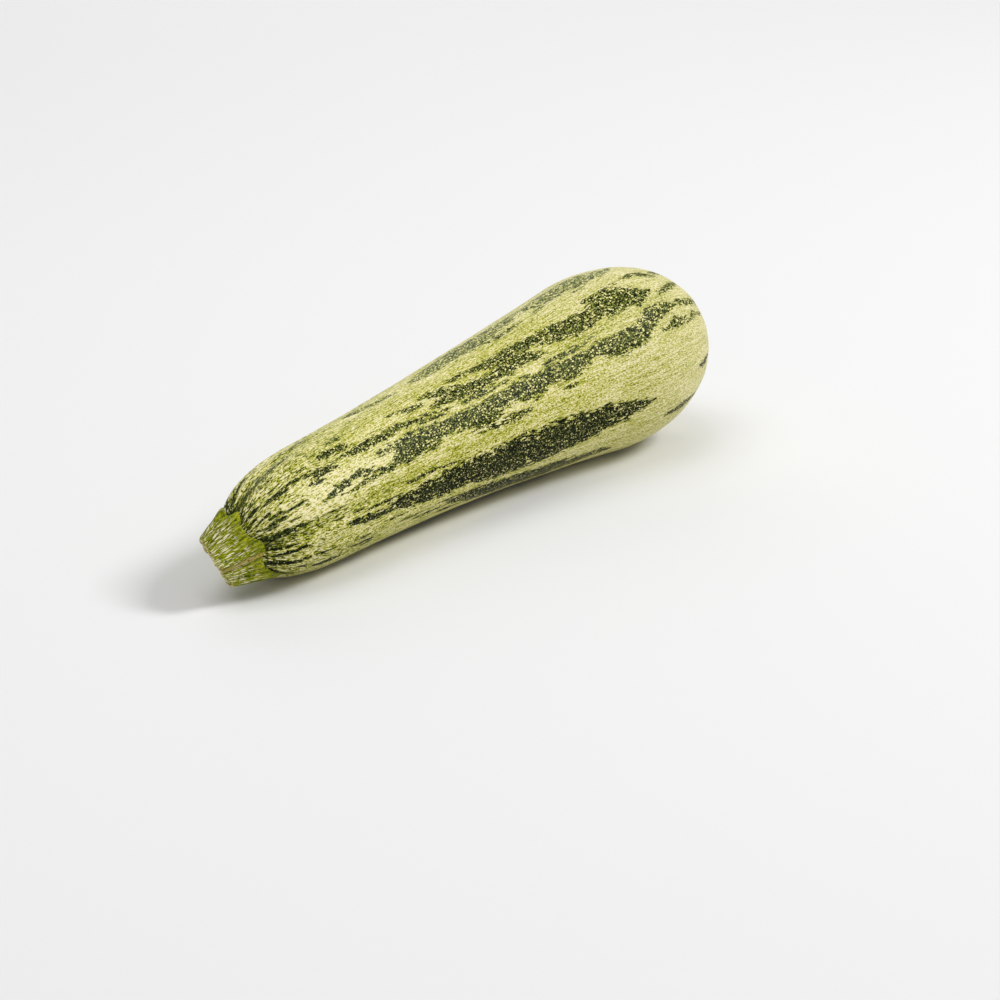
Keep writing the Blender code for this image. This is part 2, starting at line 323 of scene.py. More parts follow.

# Greener or lighter places, some of them painted light: (distance, angle, reach along, reach round
# in degrees, change of tone)
TONE_AND_LIGHT_PLACES = (
    (45, 167, 70, 6, -0.20), (30, 103, 34, 16, -0.05), (25, 188, 30, 14, -0.02),
    # the places at 143 and 157 degrees on the neck are painted highlight, partly over the skin's own
    # cream
    (30, 143, 30, 16, 0.24), (20, 157, 12, 4, 0.2), (38, 76, 10, 4, -0.55),
    # the place at 3 mm and 62 degrees is painted shade in the notch by the foot, partly the skin's
    # own dark green
    (80, 158, 60, 5, 0.08), (170, 131, 26, 5, -0.10), (3, 62, 5, 12, -0.8), (19, 70, 16, 7, 0.20),
    (105, 97, 70, 7, -0.04), (150, 100, 60, 9, -0.02), (68, 100, 18, 9, -0.08),
    (135, 78, 50, 12, 0.10), (70, 112, 28, 8, 0.08), (30, 215, 36, 16, -0.08),
    (60, 270, 60, 26, 0.12), (150, 275, 60, 24, 0.14), (40, 330, 44, 20, -0.10),
    (30, 395, 34, 14, -0.14), (120, 336, 60, 6, 0.06),
)

# How fine the skin's patterns are: repeats to a millimetre along the fruit and round it
STREAKS = (0.06, 2.3)
GRAINS = (1.1, 3.2)
PATCHES = (0.05, 0.16)
DARK_DASHES = (0.22, 2.4)
PALE_DASHES = (0.38, 2.4)
SPECKS = (0.90, 1.5)
SMALL_SPECKS = (1.7, 2.5)
STRIPE_FINGERS = (0.22, 1.2)
STRIPE_TEETH = (0.55, 1.8)
STRIPE_ISLANDS = (0.30, 0.95)
STRIPE_MOTTLE = (0.6, 1.3)

# The same for the stalk's patterns and for the dry places
STALK_FIBRES = (0.25, 1.9)
STALK_GRAINS = (1.4, 2.4)
STALK_CLUSTERS = (0.16, 0.26)
STALK_DASHES = (0.52, 2.2)
STALK_DOTS = (1.3, 2.8)
STALK_GAPS = (0.34, 2.0)
TAN_WANDER = (0.35, 1.6)
EDGE_CHIPS = (0.9, 1.1)
DRY_GRAIN = (1.6, 1.6)
RAY_BEND = (0.35, 0.35)

# The photograph's camera, in the fruit's own layout
CAMERA_EYE = (-626.07, -646.23, 366.41)
CAMERA_RIGHT = (0.6482, -0.76142, -0.0088)
CAMERA_DOWN = (-0.27111, -0.21997, -0.93708)
CAMERA_LENS = 111.0447
SENSOR = 36.0
SEEN_BETWEEN = (0.01, 50.0)

# Soft square lights: (name, place in metres, side, power), all turned to one place
LIGHTS = (
    ("key", (1.15, -1.15, 1.55), 0.7, 32.0),
    ("top", (-0.3, 0.2, 1.3), 1.0, 6.0),
    ("fill", (-1.1, -0.6, 0.6), 0.9, 0.4),
    ("back", (0.9, 1.2, 0.7), 1.2, 5.0),
)
LIT_PLACE = (0.0, 0.0, 0.03)
WORLD_LIGHT = 0.36
FLOOR_REACH = 6.0


def unit(vectors):
    """Vectors of the same directions, one long."""
    return vectors / np.linalg.norm(vectors, axis=-1, keepdims=True)


def bezier(share, controls):
    """Point of a cubic curve and its slope at each share of the way."""
    a, b, c, d = controls
    t, u = share, 1.0 - share
    point = a * u**3 + 3.0 * b * u * u * t + 3.0 * c * u * t * t + d * t**3
    slope = 3.0 * ((b - a) * u * u + 2.0 * (c - b) * u * t + (d - c) * t * t)
    return point, slope


def spine(share):
    """Centres of the fruit's sections, with the directions along, sideways and up."""
    y, dy = bezier(share, SPINE_OFFSETS)
    z, dz = bezier(share, SPINE_HEIGHTS)
    centre = np.stack([FRUIT_LENGTH * share, y, z], axis=-1)
    along = unit(np.stack([np.full_like(share, FRUIT_LENGTH), dy, dz], axis=-1))
    side = unit(np.cross((0.0, 0.0, 1.0), along))
    return centre, along, side, np.cross(along, side)


def girth(share):
    """Radius of the fruit at each share of its length, without the ribs."""
    radius = NECK_RADIUS + NECK_WIDENING * share + BULB_WIDENING * share**2
    to_pole = np.clip(1.0 - share * FRUIT_LENGTH / SHOULDER_LENGTH, 0.0, 1.0)
    to_tip = np.clip((share - BULB_CLOSES_FROM) / (1.0 - BULB_CLOSES_FROM), 0.0, 1.0)
    shoulder = np.sqrt(1.0 - to_pole**SHOULDER_FULLNESS)
    tip = np.sqrt(1.0 - to_tip**BULB_FULLNESS)
    return radius * shoulder * tip


def wave(phase, sharpness):
    """One at whole numbers of the phase, nought half way between them."""
    return (0.5 + 0.5 * np.cos(TURN * phase)) ** sharpness


def relief(share, phase):
    """How far the skin stands out of the plain round shape, grooves being negative."""
    distance = share * FRUIT_LENGTH
    main_depth = MAIN_GROOVE * np.exp(-distance / MAIN_GROOVE_FADE)
    fine_depth = RIB_GROOVE * np.exp(-distance / RIB_GROOVE_FADE) + SLIGHT_GROOVE
    main = main_depth * (wave(phase, 1.5) - BULGE_SHARE)
    fine = fine_depth * wave(RIBS_PER_RIDGE * phase, 1.2)
    radius = girth(share)
    at_tip = share > BULB_CLOSES_FROM
    dimple = SCAR_DIMPLE * np.exp(-((radius / SCAR_DIMPLE_RADIUS) ** 2)) * at_tip
    button = SCAR_BUTTON * np.exp(-((radius / SCAR_BUTTON_RADIUS) ** 4)) * at_tip
    return button - dimple - (main + fine) * np.clip(radius / RIBS_END_AT_RADIUS, 0.0, 1.0)


def fruit_point(share, angle, phase, lift=0.0):
    """Points of the skin; lift moves them out along the surface's own direction."""
    share, angle, phase = np.broadcast_arrays(share, angle, phase)
    centre, along, side, up = spine(share)
    step = 1e-4
    rise = girth(np.clip(share + step, 0.0, 1.0)) - girth(np.clip(share - step, 0.0, 1.0))
    slope = rise / (2.0 * step * FRUIT_LENGTH)
    out = np.cos(angle)[..., None] * side + np.sin(angle)[..., None] * up
    normal = unit(out - slope[..., None] * along)
    height = (relief(share, phase) + lift)[..., None]
    return centre + girth(share)[..., None] * out + height * normal


def foot_reach():
    """Radius of the stalk's foot: lobes at the ridges, drawn in between them."""
    where, reach = np.array(FOOT_OUTLINE).T
    places = [np.degrees(ANGLES) + off for off in (-FOOT_ROUNDING, 0.0, FOOT_ROUNDING)]
    return sum(np.interp((p - where[0]) % 360.0 + where[0], where, reach) for p in places) / 3.0


def stalk_section():
    """Radius of the stalk's five-sided section, with its sides a little hollow."""
    half = math.pi / len(RIDGE_ANGLES)
    from_ridge = (PHASE % 1.0) * 2.0 * half
    flat_side = math.cos(half) / np.cos(from_ridge - half)
    rounded = SIDE_FLATNESS * flat_side + (1.0 - SIDE_FLATNESS) * math.cos(half / 2.0)
    hollow = FACET_HOLLOW * wave(PHASE + 0.5, 1.0)
    radii = RIDGE_RADIUS_AT_CUT + RIDGE_RADIUS_AT_CUT[:1]
    return np.interp(PHASE, np.arange(len(radii)), radii) * (rounded - hollow)


def on_shoulder(angle, reach):
    """Share and angle of the skin at a distance from the foot's own centre."""
    y = FOOT_CENTRE[0] + reach * np.cos(angle)
    z = FOOT_CENTRE[1] + reach * np.sin(angle) - SPINE_HEIGHTS[0]
    shares = np.linspace(0.0, SHOULDER_LENGTH / FRUIT_LENGTH, 1000)
    share = np.interp(np.hypot(y, z), girth(shares), shares)
    turned = np.arctan2(z, y)
    return share, angle + (turned - angle + math.pi) % TURN - math.pi


def under_foot(lift):
    """Point on the line under the middle of the stalk's foot."""
    return fruit_point(*on_shoulder(np.zeros(1), np.zeros(1)), np.zeros(1), lift)[0]


def surface_distance(share):
    """Distance along the surface from the stalk end, in mm, for each share."""
    shares = np.linspace(0.0, 1.0, 4000)
    steps = np.hypot(np.diff(shares) * FRUIT_LENGTH, np.diff(girth(shares)))
    return np.interp(share, shares, np.concatenate([[0.0], np.cumsum(steps)]))


def even_shares(start, count):
    """Shares from start towards the tip that are evenly spaced along the surface."""
    shares = np.linspace(start, 1.0, 4000)
    distance = surface_distance(shares)
    even = np.linspace(distance[0], distance[-1], count, endpoint=False)
    return np.interp(even, distance, shares)


def smooth_noise(places, seed):
    """Soft noise from -1 to 1 at each place, the same on each run."""
    flat = places.reshape(-1, 3) + seed * 17.3
    values = np.array([noise.noise(Vector(place)) for place in flat])
    return values.reshape(places.shape[:-1])


def drum_places(distance, angle, radius):
    """Places on a drum, in mm, where noise can be stretched along the fruit."""
    return np.stack([distance, radius * np.cos(angle), radius * np.sin(angle)], axis=-1)


def skin_places(shares, turns):
    """Places of the skin on a drum that widens slowly as the fruit does."""
    distance = surface_distance(shares)
    return drum_places(distance, turns, np.interp(distance, DRUM_DISTANCES, DRUM_RADII))


def closed_mesh(name, rings, first, last, move):
    """Closed mesh through a stack of rings, with a point at each end."""
    rings = rings + move
    points = np.concatenate([[first + move], rings.reshape(-1, 3), [last + move]]) * MM
    here = 1 + np.arange(len(rings) * AROUND).reshape(len(rings), AROUND)
    onward = np.roll(here, -1, axis=1)
    starts = np.stack([0 * here[0], onward[0], here[0]], axis=-1)
    quads = np.stack([here[:-1], onward[:-1], onward[1:], here[1:]], axis=-1).reshape(-1, 4)
    ends = np.stack([0 * here[0] + len(points) - 1, here[-1], onward[-1]], axis=-1)
    data = bpy.data.meshes.new(name)
    data.from_pydata(points.tolist(), [], starts.tolist() + quads.tolist() + ends.tolist())
    wrap(data, rings)
    data.shade_smooth()
    return data


def wrap(data, rings):
    """UV map of a ringed mesh, round the piece and along it."""
    steps = np.linalg.norm(np.diff(rings, axis=0), axis=-1).mean(axis=1)
    along = np.concatenate([[0.0], np.cumsum(steps) / steps.sum()]) * 0.98 + 0.01
    corners = np.empty(len(data.loops), dtype=int)
    data.loops.foreach_get("vertex_index", corners)
    round_it = np.arange(AROUND) / AROUND
    u = with_ends(np.tile(round_it, len(rings)), last=round_it[-1])[corners]
    v = with_ends(np.repeat(along, AROUND), last=1.0)[corners]
    face = np.repeat(np.arange(len(data.polygons)), [len(p.vertices) for p in data.polygons])
    widest = np.zeros(len(data.polygons))
    np.maximum.at(widest, face, u)
    u = np.where((widest[face] > 0.9) & (u < 0.1), u + 1.0, u)
    layer = data.uv_layers.new(name="OFBake")
    layer.data.foreach_set("uv", np.stack([u, v], axis=-1).ravel())


def with_ends(values, first=0.0, last=0.0):
    """Values of all points of the rings, with those of the point at each end."""
    return np.concatenate([[first], np.ravel(values), [last]])


def add_values(data, **values):
    """Numbers at each point of a mesh, for its material to read."""
    for name, value in values.items():
        layer = data.attributes.new(name, "FLOAT", "POINT")
        layer.data.foreach_set("value", value.astype(np.float32))


def add_place(data, places):
    """Place at each point of a mesh, for its material to read."""
    layer = data.attributes.new("place", "FLOAT_VECTOR", "POINT")
    layer.data.foreach_set("vector", places.astype(np.float32).ravel())


def stripe_depth(distance, degrees, stripe):
    """How deep inside one stripe a place is, in mm, negative outside it."""
    where, low, high = np.array(stripe, dtype=float).T
    middle, half = 0.5 * (low + high), 0.5 * (high - low)
    centre = np.interp(distance, where, middle)
    off = (degrees - centre + 180.0) % 360.0 - 180.0
    per_degree = np.radians(girth(distance / FRUIT_LENGTH))
    inside = (np.interp(distance, where, half) - np.abs(off)) * per_degree
    ends = np.minimum(distance - where[0], where[-1] - distance)
    return np.minimum(inside, ends)


def mark_depth(distance, degrees, mark):
    """The same for one small mark, with rounded ends."""
    start, end, angle, end_angle, thickness = mark
    share = (distance - start) / (end - start)
    off = (degrees - angle - (end_angle - angle) * share + 180.0) % 360.0 - 180.0
    across = np.radians(np.abs(off)) * girth(distance / FRUIT_LENGTH)
    rounded = np.sqrt(np.clip(1.0 - (2.0 * share - 1.0) ** 2, 0.0, 1.0))
    ends = np.minimum(distance - start, end - distance)
    return np.minimum(thickness * rounded - across, ends)


def hidden_marks():
    """Small marks on the hidden sides, scattered by a fixed draw."""
    draw = np.random.default_rng(41)
    marks = []
    for _ in range(HIDDEN_MARKS):
        start = draw.uniform(10.0, 205.0)
        length = draw.uniform(4.0, 18.0)
        angle = draw.uniform(*HIDDEN_BETWEEN)
        drift = draw.uniform(-2.0, 2.0)
        marks.append((start, start + length, angle, angle + drift, draw.uniform(0.4, 1.3)))
    return tuple(marks)


def dark_places(distance, degrees):
    """How deep inside a stripe or mark each place is, and how much of its edge is torn."""
    depth = np.full(distance.shape, FAR_OUTSIDE)
    tear = np.ones(distance.shape)
    for stripe in STRIPES:
        depth = np.maximum(depth, stripe_depth(distance, degrees, stripe))
    for mark in MARKS + hidden_marks():
        own = mark_depth(distance, degrees, mark)
        tear = np.where(own > depth, min(mark[-1] / TORN_FROM, 1.0), tear)
        depth = np.maximum(depth, own)
    return depth, tear


def tone_and_light_change(distance, degrees):
    """Change of tone from the greener and the lighter places, painted highlight and painted shade
    among them.
    """
    change = np.zeros_like(distance)
    for where, angle, along, across, amount in TONE_AND_LIGHT_PLACES:
        off = (degrees - angle + 180.0) % 360.0 - 180.0
        change += amount * np.exp(-((distance - where) / along) ** 2 - (off / across) ** 2)
    return change


def groove_shade(distance, phases):
    """Darkness of the grooves: dark green lines in the main ones, and softer painted shade in all.
    """
    line = wave(phases, LINE_SHARPNESS)
    shade = line * np.exp(-((distance / LINE_REACH) ** 2))
    main = wave(phases, SHADE_SHARPNESS)
    shade += GROOVE_SHADE * main * np.exp(-distance / MAIN_SHADE_FADE)
    ribs = wave(RIBS_PER_RIDGE * phases, SHADE_SHARPNESS)
    shade += GROOVE_SHADE * ribs * np.exp(-distance / RIB_SHADE_FADE)
    return shade


def skin_rings():
    """Rings of the skin from under the foot to the tip, with their shares and angles."""
    reach = foot_reach()
    rings, shares, turns = [], [], []

    def add(share, angle, lift=0.0):
        rings.append(fruit_point(share, angle, PHASE, lift))
        shares.append(np.broadcast_to(share, angle.shape))
        turns.append(angle)

    for hidden in np.linspace(*HIDDEN_SHARES, HIDDEN_RINGS):
        add(*on_shoulder(ANGLES, hidden * reach), lift=HIDDEN_DEPTH)
    begin, turned = on_shoulder(ANGLES, reach + 0.5 * FOOT_THICKNESS)
    even = SHOULDER_ENDS / FRUIT_LENGTH
    for step in np.linspace(0.0, 1.0, SHOULDER_RINGS, endpoint=False):
        add(begin + (even - begin) * step**SHOULDER_CROWDING, turned + (ANGLES - turned) * step)
    for share in even_shares(even, BODY_RINGS):
        add(share, ANGLES)
    return np.array(rings), np.array(shares), np.array(turns)


def worn(rings, shares, turns):
    """Skin with the slight swells and wrinkles of a grown thing."""
    places = skin_places(shares, turns)
    swell = smooth_noise(places * SWELLS_PER_MM, seed=1)
    wrinkle = smooth_noise(places * WRINKLES_PER_MM, seed=2)
    neck = np.exp(-shares * FRUIT_LENGTH / WRINKLED_NECK)
    fade = np.clip(girth(shares) / SMOOTH_TIP_RADIUS, 0.0, 1.0)
    wrinkled = WRINKLES_ELSEWHERE + neck
    height = (SKIN_SWELL * swell + SKIN_WRINKLE * wrinkle * wrinkled) * fade
    height[:HIDDEN_RINGS] = 0.0
    return rings + height[..., None] * unit(rings - spine(shares)[0])


def make_skin(move):
    """The skin as one closed piece, with the numbers that its material reads."""
    rings, shares, turns = skin_rings()
    rings = worn(rings, shares, turns)
    rings[..., 2] = np.maximum(rings[..., 2], REST_LEVEL)
    tip = fruit_point(1.0, 0.0, 0.0)
    data = closed_mesh("skin", rings, under_foot(HIDDEN_DEPTH), tip, move)

    foot_edge = with_ends(np.tile(surface_distance(shares[HIDDEN_RINGS]), len(rings)))
    phases = with_ends(np.tile(PHASE, len(rings)))
    shares = with_ends(shares, last=1.0)
    turns = with_ends(turns)
    distance = shares * FRUIT_LENGTH
    degrees = np.degrees(turns) % 360.0
    depth, tear = dark_places(distance, degrees)
    from_tip = (FRUIT_LENGTH - distance) / TIP_BLOOM_REACH
    from_foot = np.maximum(surface_distance(shares) - foot_edge, 0.0)
    add_values(
        data,
        stripe=depth,
        tear=tear,
        tone=tone_and_light_change(distance, degrees),
        neck=np.exp(-distance / NECK_FADE),
        bloom=TIP_BLOOM * np.exp(-(from_tip**2)),
        specked=np.interp(degrees, *np.array(SPECK_SIZES_SHEEN_SHADE).T),
        # painted shade on the skin at the edge of the stalk's foot, partly the skin's own dark green
        foot=np.exp(-from_foot / FOOT_SHADE_REACH),
        groove=groove_shade(distance, phases),
    )
    add_place(data, skin_places(shares, turns))
    return data


def stalk_rim():
    """The five-sided edge of the cut."""
    up = np.array((0.0, 0.0, 1.0)) - INWARD[2] * INWARD
    up /= np.linalg.norm(up)
    side = np.cross(up, INWARD)
    out = np.cos(ANGLES)[:, None] * side + np.sin(ANGLES)[:, None] * up
    return CUT_CENTRE + stalk_section()[:, None] * out


def stalk_rings():
    """Rings of the stalk from its recessed end down the wall to under its foot."""
    rim = stalk_rim()
    reach = foot_reach()
    edge = fruit_point(*on_shoulder(ANGLES, reach), PHASE, FOOT_THICKNESS)
    flare = fruit_point(*on_shoulder(ANGLES, FLARE_START * reach), PHASE, FLARE_LIFT)
    wall = (1.0 - WALL_SHARE) * rim + WALL_SHARE * flare
    rings = []
    for share, depth, _ in STALK_END:
        rings.append(CUT_CENTRE + (rim - CUT_CENTRE) * share + depth * INWARD)
    for share in np.linspace(0.0, 1.0, STALK_RINGS):
        rest = 1.0 - share
        first, last = rest**3 * rim, share**3 * edge
        rings.append(first + 3.0 * rest * share * (rest * wall + share * flare) + last)
    for share, more, lift in FOOT_UNDERSIDE:
        rings.append(fruit_point(*on_shoulder(ANGLES, share * reach + more), PHASE, lift))
    return np.array(rings), np.linalg.norm(edge - rim, axis=-1).mean()


def fibrous(rings, along, places):
    """Stalk with fibres, lumps and raised ridges on its wall."""
    fibre = smooth_noise(places * FIBRES_PER_MM, seed=5)
    lump = smooth_noise(places * LUMPS_PER_MM, seed=6)
    shown = np.sin(math.pi * np.clip(along * 1.04, 0.0, 1.0)) ** 0.5
    shown[:len(STALK_END)] = 0.0
    ridge = wave(PHASE, RIDGE_SHARPNESS)
    height = FIBRE_HEIGHT * fibre + LUMP_HEIGHT * lump + RIDGE_HEIGHT * ridge
    height *= shown[:, None]
    out = rings - rings.mean(axis=1, keepdims=True)
    out -= (out @ INWARD)[..., None] * INWARD
    return rings + height[..., None] * unit(out)


def torn_edge(rings, distance, places):
    """Stalk whose cut edge goes up and down a little, as a dry one does."""
    lead = len(STALK_END)
    torn = smooth_noise(places[lead] * WAVES_PER_MM, seed=7)
    ripple = smooth_noise(places[lead] * RIPPLES_PER_MM, seed=10)
    torn += RIPPLE_SHARE * ripple
    near_cut = np.exp(-((distance / CUT_EDGE_REACH) ** 2))
    near_cut[:lead] = [share for _, _, share in STALK_END]
    return rings + CUT_EDGE_WAVES * (near_cut[:, None] * torn)[..., None] * INWARD


def make_stalk(move):
    """The stalk as one closed piece: a recessed end, the ridged wall and its foot."""
    rings, length = stalk_rings()
    before, after = np.zeros(len(STALK_END)), np.ones(len(FOOT_UNDERSIDE))
    along = np.concatenate([before, np.linspace(0.0, 1.0, STALK_RINGS), after])
    turns = np.broadcast_to(ANGLES, rings.shape[:2])
    distance = np.broadcast_to(along[:, None] * length, rings.shape[:2])
    places = drum_places(distance, turns, STALK_DRUM)
    rings = fibrous(rings, along, places)
    rings = torn_edge(rings, along * length, places)
    first = CUT_CENTRE + STALK_END[0][1] * INWARD
    data = closed_mesh("stalk", rings, first, under_foot(FOOT_BOTTOM), move)

    along = with_ends(np.repeat(along, AROUND), last=1.0)
    turns = with_ends(turns)
    phases = with_ends(np.tile(PHASE, len(rings)))
    from_tan = (np.degrees(turns) - TAN_RIDGE) / TAN_RIDGE_WIDTH
    ridge = wave(phases, RIDGE_TINT_SHARPNESS)
    add_values(data, along=along, ridge=ridge, brown=np.exp(-(from_tan**2)))
    add_place(data, drum_places(along * length, turns, STALK_DRUM))
    return data


def dry_piece(name, rings, reaches, last, move):
    """Closed mesh of a dry place, with how far out and how far round each point is."""
    rings = np.array(rings)
    data = closed_mesh(name, rings, rings[0].mean(axis=0), last, move)
    turns = np.tile(ANGLES, len(rings))
    add_values(data, reach=with_ends(np.repeat(reaches, AROUND)), turn=with_ends(turns))
    return data


def make_cut(move):
    """The dry cut end of the stalk: a shallow dished pith inside a thin rim."""
    spokes = stalk_rim() - CUT_CENTRE
    rings, reaches = [], []
    for reach in np.linspace(CUT_START, CUT_END, CUT_RINGS):
        place = CUT_CENTRE + reach * spokes
        rough = smooth_noise(place * 0.8, seed=8) * 0.16
        rough += smooth_noise(place * 2.2, seed=9) * 0.10
        from_star = (reach - CUT_STAR_REACH) / CUT_STAR_WIDTH
        star = CUT_STAR * wave(PHASE, 2.0) * np.exp(-(from_star**2))
        dish = CUT_DISH * math.exp(-((reach / CUT_DISH_REACH) ** 2)) + CUT_RECESS
        rings.append(place + (dish + rough + star)[:, None] * INWARD)
        reaches.append(reach)
    for share, depth, reach in CUT_BACK:
        rings.append(CUT_CENTRE + share * spokes + depth * INWARD)
        reaches.append(reach)
    last = CUT_CENTRE + CUT_BACK[-1][1] * INWARD
    return dry_piece("stalk_cut", rings, reaches, last, move)


def make_scar(move):
    """The small corky scar that the flower left at the tip."""
    shares = np.linspace(0.9, 1.0, 4000)
    radii = girth(shares)[::-1]
    uneven = smooth_noise(drum_places(0.0 * ANGLES, ANGLES, 1.1), seed=11)
    wobble = 1.0 + SCAR_UNEVENNESS * uneven
    rings, reaches = [], []
    for reach in np.linspace(SCAR_START, SCAR_RADIUS, SCAR_RINGS):
        share = np.interp(reach * wobble, radii, shares[::-1])
        places = drum_places(np.full(AROUND, 0.6 * reach), ANGLES, reach)
        rough = smooth_noise(places, seed=12) * SCAR_ROUGHNESS
        lift = SCAR_HEIGHT - SCAR_EDGE_DROP * (reach / SCAR_RADIUS) ** 4 + rough
        lift -= SCAR_HEART_DEPTH * math.exp(-((reach / SCAR_HEART_RADIUS) ** 2))
        rings.append(fruit_point(share, ANGLES, PHASE, lift))
        reaches.append(reach / SCAR_RADIUS)
    share = np.interp(SCAR_BACK_RADIUS * wobble, radii, shares[::-1])
    rings.append(fruit_point(share, ANGLES, PHASE, SCAR_BACK_DEPTH))
    reaches.append(1.0)
    last = fruit_point(1.0, 0.0, 0.0, SCAR_BOTTOM)
    return dry_piece("flower_scar", rings, reaches, last, move)


def linear(colour):
    """Linear values of a colour that is given as a screen shows it."""
    values = [channel / 255.0 for channel in colour]
    values = [v / 12.92 if v <= 0.04045 else ((v + 0.055) / 1.055) ** 2.4 for v in values]
    return (*values, 1.0)


class Finish:
    """One material's nodes, added and joined with short calls."""

    def __init__(self, name):
        self.material = bpy.data.materials.new(name)
        self.material.use_nodes = True
        self.tree = self.material.node_tree
        self.shader = self.tree.nodes["Principled BSDF"]
        self.place = None

    def add(self, kind, sockets, output=0, **settings):
        """New node with its settings and sockets filled in."""
        made = self.tree.nodes.new(kind)
        for key, value in settings.items():
            setattr(made, key, value)
        for key, value in sockets.items():
            self.feed(made.inputs[key], value)
        return made.outputs[output]

    def feed(self, socket, value):
        """Join another node's output to a socket, or set a value on it."""
        if isinstance(value, bpy.types.NodeSocket):
            self.tree.links.new(value, socket)
        else:
            socket.default_value = value

    def attribute(self, name, output="Fac"):
        return self.add("ShaderNodeAttribute", {}, output, attribute_name=name)

    def maths(self, operation, a, b=0.0, c=0.0):
        return self.add("ShaderNodeMath", {0: a, 1: b, 2: c}, operation=operation)

    def plus(self, a, b, times=1.0):
        return self.maths("MULTIPLY_ADD", b, times, a)

    def times(self, a, b):
        return self.maths("MULTIPLY", a, b)

    def stretched(self, place, pattern):
        """Place in the repeats of a pattern."""
        along, across = pattern
        scale = (along, across, across)
        return self.add("ShaderNodeVectorMath", {0: place, 1: scale}, operation="MULTIPLY")

    def noise(self, pattern, detail=2.0, roughness=0.5):
        """Soft noise from 0 to 1."""
        place = self.stretched(self.place, pattern)
        sockets = {"Vector": place, "Scale": 1.0, "Detail": detail, "Roughness": roughness}
        return self.add("ShaderNodeTexNoise", sockets)

    def swing(self, pattern, detail=2.0, roughness=0.5):
        """Soft noise that goes as far above nought as below it."""
        return self.plus(-0.5, self.noise(pattern, detail, roughness))

    def flecks(self, pattern, smallest, largest, moved=None, softness=0.06, size=1.0):
        """Separate flecks, one to a cell of the pattern, and the random draw of each cell."""
        place = self.stretched(self.place, pattern)
        if moved is not None:
            place = self.add("ShaderNodeVectorMath", {0: place, 1: moved}, operation="ADD")
        cells = self.tree.nodes.new("ShaderNodeTexVoronoi")
        cells.inputs["Scale"].default_value = 1.0
        self.feed(cells.inputs["Vector"], place)
        draw = self.add("ShaderNodeSeparateColor", {0: cells.outputs["Color"]})
        reach = self.step(draw, 0.0, 1.0, smallest, largest)
        past_edge = self.maths("SUBTRACT", cells.outputs["Distance"], self.times(reach, size))
        return self.step(past_edge, -softness, softness, 1.0, 0.0), draw

    def step(self, value, low, high, start=0.0, end=1.0):
        """Smooth step from start to end as the value goes from low to high."""
        sockets = {"Value": value, "From Min": low, "From Max": high, "To Min": start, "To Max": end}
        return self.add("ShaderNodeMapRange", sockets, interpolation_type="SMOOTHSTEP")

    def mixed(self, share, a, b):
        """Colour a with a share of colour b, each a node's or as a screen shows it."""
        a, b = (linear(c) if isinstance(c, tuple) else c for c in (a, b))
        return self.add("ShaderNodeMix", {"Factor": share, "A": a, "B": b}, 2, data_type="RGBA")

    def ramp(self, value, stops):
        """Colour that goes through the stops, each a value and its colour."""
        node = self.tree.nodes.new("ShaderNodeValToRGB")
        band = node.color_ramp
        for _ in stops[2:]:
            band.elements.new(0.5)
        for element, (place, colour) in zip(band.elements, stops):
            element.position = place
            element.color = linear(colour)
        self.feed(node.inputs[0], value)
        return node.outputs[0]

    def bump(self, height, strength, distance):
        """Surface direction over small bumps; the distance is in metres."""
        sockets = {"Height": height, "Strength": strength, "Distance": distance}
        return self.add("ShaderNodeBump", sockets)

    def end(self, **sockets):
        """Join the results to the shader, and give the finished material."""
        for key, value in sockets.items():
            self.feed(self.shader.inputs[key.replace("_", " ")], value)
        return self.material


def skin_tone(skin, neck, groove):
    """Tone of the skin, from dark green below 0.3 to cream at 1."""
    streaks = skin.swing(STREAKS, 2.0, 0.55)
    grains = skin.swing(GRAINS, 1.0, 0.5)
    patches = skin.swing(PATCHES)
    dark_dashes = skin.flecks(DARK_DASHES, 0.06, 0.42, (7.3, 2.1, 4.4))[0]
    streaks = skin.times(streaks, skin.plus(1.0, neck, 1.7))
    dark_dashes = skin.times(dark_dashes, skin.plus(0.02, neck, 0.92))
    tone = skin.plus(0.70, skin.attribute("tone"))
    # the grooves darken with their dark green lines and painted shade, and the ring at the stalk's
    # foot with painted shade and some dark green of its own
    parts = ((streaks, 1.0), (grains, 1.9), (patches, 0.3), (neck, -0.20), (dark_dashes, -1.0),
             (groove, -0.14), (skin.attribute("foot"), -0.52))
    for part, amount in parts:
        tone = skin.plus(tone, part, amount)
    return tone, grains


def skin_specks(skin, neck, specked):
    """Pin-prick specks: the larger ones, their random draws, and all of them. They grow towards the
    top as painted sheen and shrink low on the near side as painted shade.
    """
    size = skin.times(specked, skin.plus(1.06, neck, -0.60))
    large, draw = skin.flecks(SPECKS, 0.02, 0.37, softness=0.05, size=size)
    small = skin.flecks(SMALL_SPECKS, 0.10, 0.44, (3.1, 5.7, 1.9), size=size)[0]
    return large, draw, skin.maths("MAXIMUM", large, skin.times(small, 0.72))


def stripe_share(skin, neck, grains):
    """Where the dark stripes are, with edges torn into fingers and pale islands in them."""
    fingers = skin.swing(STRIPE_FINGERS, 3.0, 0.6)
    teeth = skin.swing(STRIPE_TEETH, 1.0, 0.5)
    torn = skin.plus(skin.plus(skin.times(fingers, 4.6), teeth, 3.4), grains, 2.8)
    torn = skin.times(torn, skin.times(skin.attribute("tear"), skin.plus(1.0, neck, -0.65)))
    islands = skin.step(skin.noise(STRIPE_ISLANDS, 2.0, 0.5), 0.60, 0.70)
    islands = skin.times(islands, skin.plus(1.0, neck, -1.0))
    depth = skin.plus(skin.plus(skin.attribute("stripe"), torn), islands, -4.5)
    return skin.step(depth, -0.12, 0.18)


